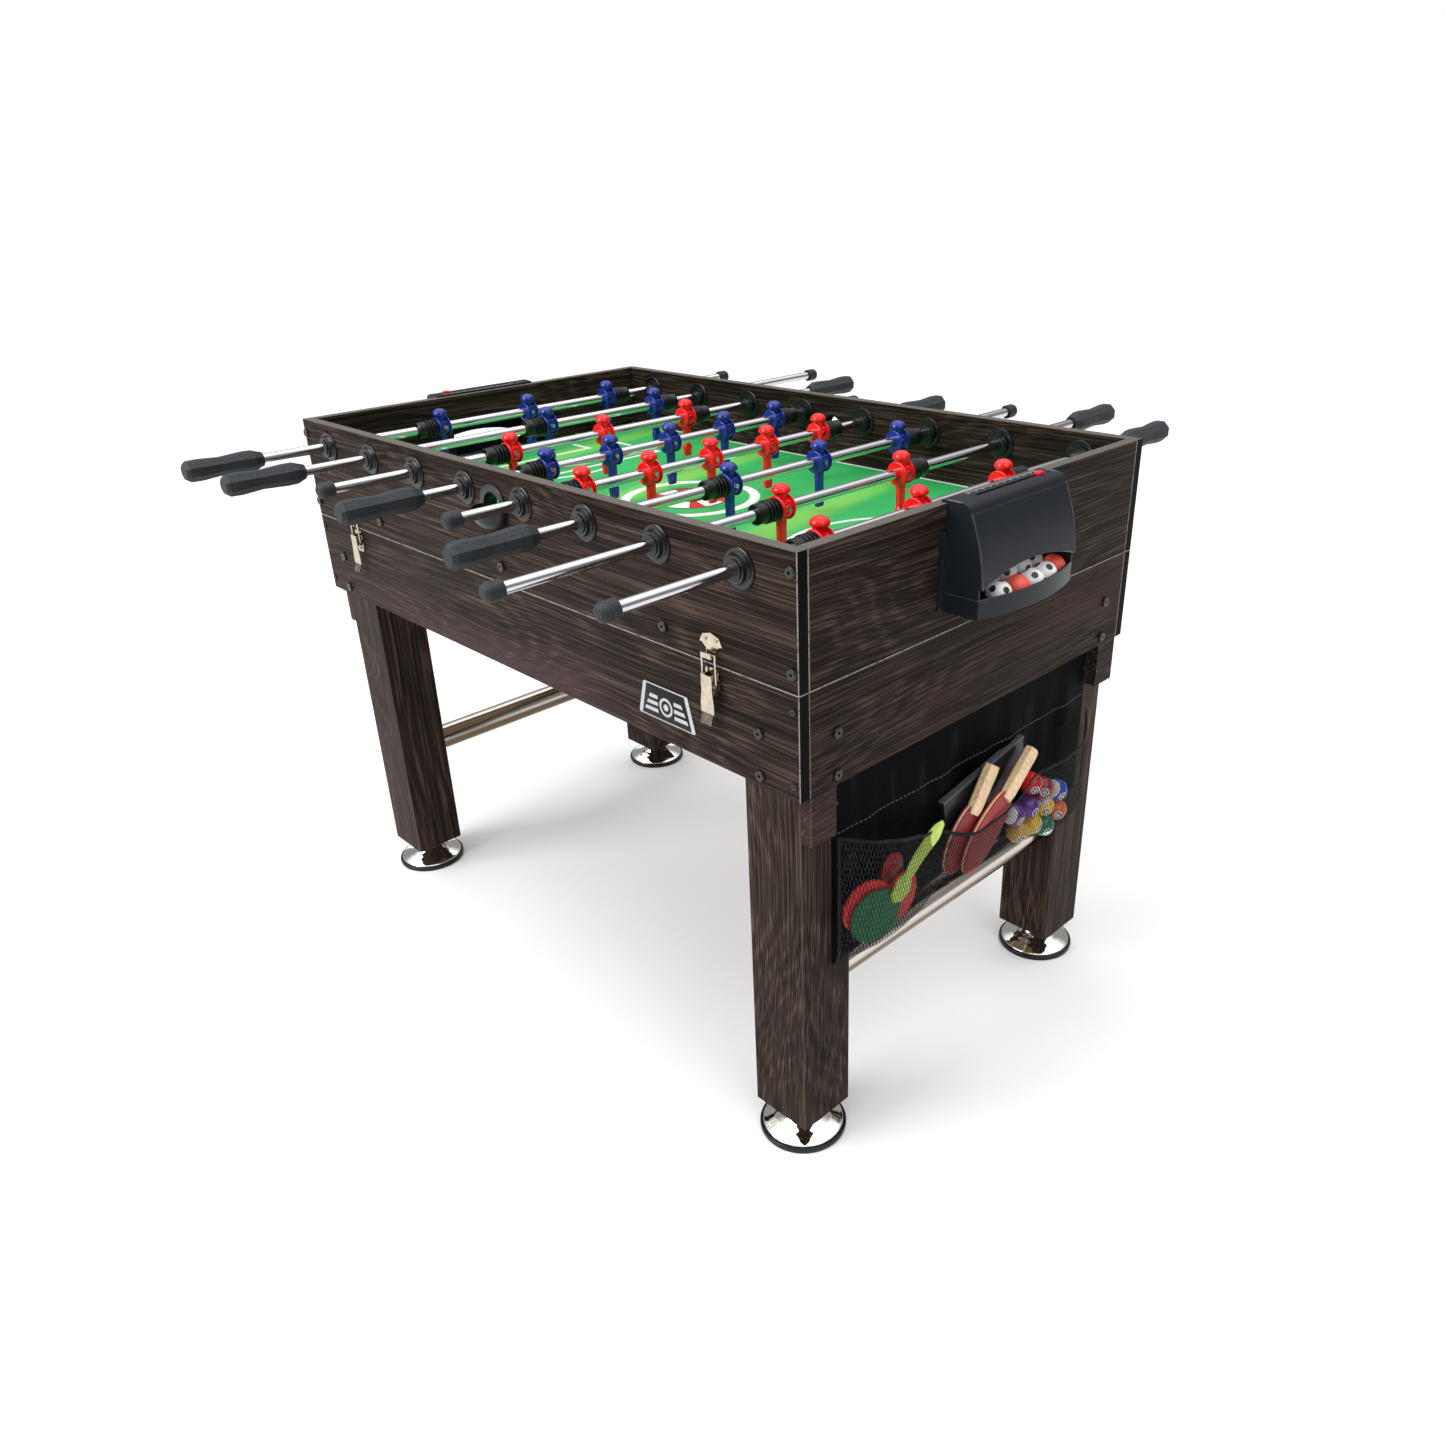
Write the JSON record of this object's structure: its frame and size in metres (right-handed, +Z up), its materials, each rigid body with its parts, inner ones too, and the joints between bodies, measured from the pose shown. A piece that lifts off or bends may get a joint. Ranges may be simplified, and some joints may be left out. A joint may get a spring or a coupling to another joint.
{
  "type": "foosball table",
  "caption": "Full-size foosball table with sliding, spinning player rods, ball returns at both ends, draw latches, leveling feet and a hanging mesh storage pouch.",
  "frame": {"origin": "on the floor under the middle of the table", "axes": "+X along the table towards the end with the pouch, +Y across it away from the long side with four grips of the blue team, +Z up"},
  "size_m": [1.362, 1.323, 0.9201],
  "materials": {
    "dark_wood": "satin laminate with an oak grain",
    "playfield_green": "printed gloss laminate",
    "raw_wood": "plain board",
    "rod_chrome": "polished",
    "foot_chrome": "polished, in a black rubber ring",
    "tube_chrome": "polished",
    "blue_men": "gloss moulding",
    "red_men": "gloss moulding",
    "black_rubber": "matt",
    "black_plastic": "fine texture",
    "nylon": "plain",
    "red_plastic": "gloss moulding",
    "latch_steel": "bright nickel",
    "dark_steel": "black oxide",
    "pouch_cloth": "black nylon cloth and mesh"
  },
  "bodies": {
    "table": {"upper_side_panels": "dark_wood", "upper_end_panels": "dark_wood", "playfield": "playfield_green", "playfield_beams": "raw_wood", "lower_side_aprons": "dark_wood", "lower_end_aprons": "dark_wood", "legs": "dark_wood", "leg_stretchers": "tube_chrome", "rod_bearings": "black_plastic", "ball_entry_cups": "black_plastic", "ball_returns": "black_plastic", "latch_plates": "latch_steel", "storage_pouch": "pouch_cloth", "fasteners": "dark_steel"},
    "rod_1_turn": {"rod_1_bushes": "nylon"},
    "rod_1": {"rod_1_steel": "rod_chrome", "rod_1_men": "blue_men", "rod_1_rubber": "black_rubber"},
    "rod_2_turn": {"rod_2_bushes": "nylon"},
    "rod_2": {"rod_2_steel": "rod_chrome", "rod_2_men": "blue_men", "rod_2_rubber": "black_rubber"},
    "rod_3_turn": {"rod_3_bushes": "nylon"},
    "rod_3": {"rod_3_steel": "rod_chrome", "rod_3_men": "red_men", "rod_3_rubber": "black_rubber"},
    "rod_4_turn": {"rod_4_bushes": "nylon"},
    "rod_4": {"rod_4_steel": "rod_chrome", "rod_4_men": "blue_men", "rod_4_rubber": "black_rubber"},
    "rod_5_turn": {"rod_5_bushes": "nylon"},
    "rod_5": {"rod_5_steel": "rod_chrome", "rod_5_men": "red_men", "rod_5_rubber": "black_rubber"},
    "rod_6_turn": {"rod_6_bushes": "nylon"},
    "rod_6": {"rod_6_steel": "rod_chrome", "rod_6_men": "blue_men", "rod_6_rubber": "black_rubber"},
    "rod_7_turn": {"rod_7_bushes": "nylon"},
    "rod_7": {"rod_7_steel": "rod_chrome", "rod_7_men": "red_men", "rod_7_rubber": "black_rubber"},
    "rod_8_turn": {"rod_8_bushes": "nylon"},
    "rod_8": {"rod_8_steel": "rod_chrome", "rod_8_men": "red_men", "rod_8_rubber": "black_rubber"},
    "leveler_1": {"leveler_1": "foot_chrome"},
    "latch_lever_1": {"latch_lever_1": "latch_steel"},
    "latch_bail_1": {"latch_bail_1": "latch_steel"},
    "leveler_2": {"leveler_2": "foot_chrome"},
    "latch_lever_2": {"latch_lever_2": "latch_steel"},
    "latch_bail_2": {"latch_bail_2": "latch_steel"},
    "leveler_3": {"leveler_3": "foot_chrome"},
    "latch_lever_3": {"latch_lever_3": "latch_steel"},
    "latch_bail_3": {"latch_bail_3": "latch_steel"},
    "leveler_4": {"leveler_4": "foot_chrome"},
    "latch_lever_4": {"latch_lever_4": "latch_steel"},
    "latch_bail_4": {"latch_bail_4": "latch_steel"},
    "score_marker_right": {"score_marker_right": "red_plastic"},
    "score_marker_left": {"score_marker_left": "red_plastic"}
  },
  "joints": [
    {"name": "rod_1_spin", "type": "hinge", "parent": "table", "child": "rod_1_turn", "pos_m": [-0.5175, 0, 0.876], "axis": [0, 1, 0], "continuous": true},
    {"name": "rod_1_slide", "type": "slide", "parent": "rod_1_turn", "child": "rod_1", "axis": [0, 1, 0], "range_m": [-0.14005, 0.06395]},
    {"name": "rod_2_spin", "type": "hinge", "parent": "table", "child": "rod_2_turn", "pos_m": [-0.36964, 0, 0.876], "axis": [0, 1, 0], "continuous": true},
    {"name": "rod_2_slide", "type": "slide", "parent": "rod_2_turn", "child": "rod_2", "axis": [0, 1, 0], "range_m": [-0.27522, 0.05878]},
    {"name": "rod_3_spin", "type": "hinge", "parent": "table", "child": "rod_3_turn", "pos_m": [-0.22179, 0, 0.876], "axis": [0, 1, 0], "continuous": true},
    {"name": "rod_3_slide", "type": "slide", "parent": "rod_3_turn", "child": "rod_3", "axis": [0, 1, 0], "range_m": [-0.09904, 0.10496]},
    {"name": "rod_4_spin", "type": "hinge", "parent": "table", "child": "rod_4_turn", "pos_m": [-0.07393, 0, 0.876], "axis": [0, 1, 0], "continuous": true},
    {"name": "rod_4_slide", "type": "slide", "parent": "rod_4_turn", "child": "rod_4", "axis": [0, 1, 0], "range_m": [-0.06807, 0.01793]},
    {"name": "rod_5_spin", "type": "hinge", "parent": "table", "child": "rod_5_turn", "pos_m": [0.07393, 0, 0.876], "axis": [0, 1, 0], "continuous": true},
    {"name": "rod_5_slide", "type": "slide", "parent": "rod_5_turn", "child": "rod_5", "axis": [0, 1, 0], "range_m": [-0.02812, 0.05788]},
    {"name": "rod_6_spin", "type": "hinge", "parent": "table", "child": "rod_6_turn", "pos_m": [0.22179, 0, 0.876], "axis": [0, 1, 0], "continuous": true},
    {"name": "rod_6_slide", "type": "slide", "parent": "rod_6_turn", "child": "rod_6", "axis": [0, 1, 0], "range_m": [-0.18156, 0.02244]},
    {"name": "rod_7_spin", "type": "hinge", "parent": "table", "child": "rod_7_turn", "pos_m": [0.36964, 0, 0.876], "axis": [0, 1, 0], "continuous": true},
    {"name": "rod_7_slide", "type": "slide", "parent": "rod_7_turn", "child": "rod_7", "axis": [0, 1, 0], "range_m": [-0.13961, 0.19439]},
    {"name": "rod_8_spin", "type": "hinge", "parent": "table", "child": "rod_8_turn", "pos_m": [0.5175, 0, 0.876], "axis": [0, 1, 0], "continuous": true},
    {"name": "rod_8_slide", "type": "slide", "parent": "rod_8_turn", "child": "rod_8", "axis": [0, 1, 0], "range_m": [-0.05681, 0.14719]},
    {"name": "leveler_1_height", "type": "slide", "parent": "table", "child": "leveler_1", "axis": [0, 0, 1], "range_m": [-0.012, 0]},
    {"name": "latch_1_lever", "type": "hinge", "parent": "table", "child": "latch_lever_1", "pos_m": [-0.463, -0.38, 0.726], "axis": [-1, 0, 0], "range_deg": [0, 90]},
    {"name": "latch_1_bail", "type": "hinge", "parent": "latch_lever_1", "child": "latch_bail_1", "pos_m": [-0.463, -0.38, 0.716], "axis": [-1, 0, 0], "range_deg": [-72, 0]},
    {"name": "leveler_2_height", "type": "slide", "parent": "table", "child": "leveler_2", "axis": [0, 0, 1], "range_m": [-0.012, 0]},
    {"name": "latch_2_lever", "type": "hinge", "parent": "table", "child": "latch_lever_2", "pos_m": [-0.463, 0.38, 0.726], "axis": [1, 0, 0], "range_deg": [0, 90]},
    {"name": "latch_2_bail", "type": "hinge", "parent": "latch_lever_2", "child": "latch_bail_2", "pos_m": [-0.463, 0.38, 0.716], "axis": [1, 0, 0], "range_deg": [-72, 0]},
    {"name": "leveler_3_height", "type": "slide", "parent": "table", "child": "leveler_3", "axis": [0, 0, 1], "range_m": [-0.012, 0]},
    {"name": "latch_3_lever", "type": "hinge", "parent": "table", "child": "latch_lever_3", "pos_m": [0.463, -0.38, 0.726], "axis": [-1, 0, 0], "range_deg": [0, 90]},
    {"name": "latch_3_bail", "type": "hinge", "parent": "latch_lever_3", "child": "latch_bail_3", "pos_m": [0.463, -0.38, 0.716], "axis": [-1, 0, 0], "range_deg": [-72, 0]},
    {"name": "leveler_4_height", "type": "slide", "parent": "table", "child": "leveler_4", "axis": [0, 0, 1], "range_m": [-0.012, 0]},
    {"name": "latch_4_lever", "type": "hinge", "parent": "table", "child": "latch_lever_4", "pos_m": [0.463, 0.38, 0.726], "axis": [1, 0, 0], "range_deg": [0, 90]},
    {"name": "latch_4_bail", "type": "hinge", "parent": "latch_lever_4", "child": "latch_bail_4", "pos_m": [0.463, 0.38, 0.716], "axis": [1, 0, 0], "range_deg": [-72, 0]},
    {"name": "score_right_slide", "type": "slide", "parent": "table", "child": "score_marker_right", "axis": [0, 1, 0], "range_m": [-0.133, 0.004]},
    {"name": "score_left_slide", "type": "slide", "parent": "table", "child": "score_marker_left", "axis": [0, -1, 0], "range_m": [-0.133, 0.004]}
  ],
  "couplings": [
    {"joint": "latch_1_bail", "follows": "latch_1_lever", "ratio": -0.8},
    {"joint": "latch_2_bail", "follows": "latch_2_lever", "ratio": -0.8},
    {"joint": "latch_3_bail", "follows": "latch_3_lever", "ratio": -0.8},
    {"joint": "latch_4_bail", "follows": "latch_4_lever", "ratio": -0.8}
  ]
}
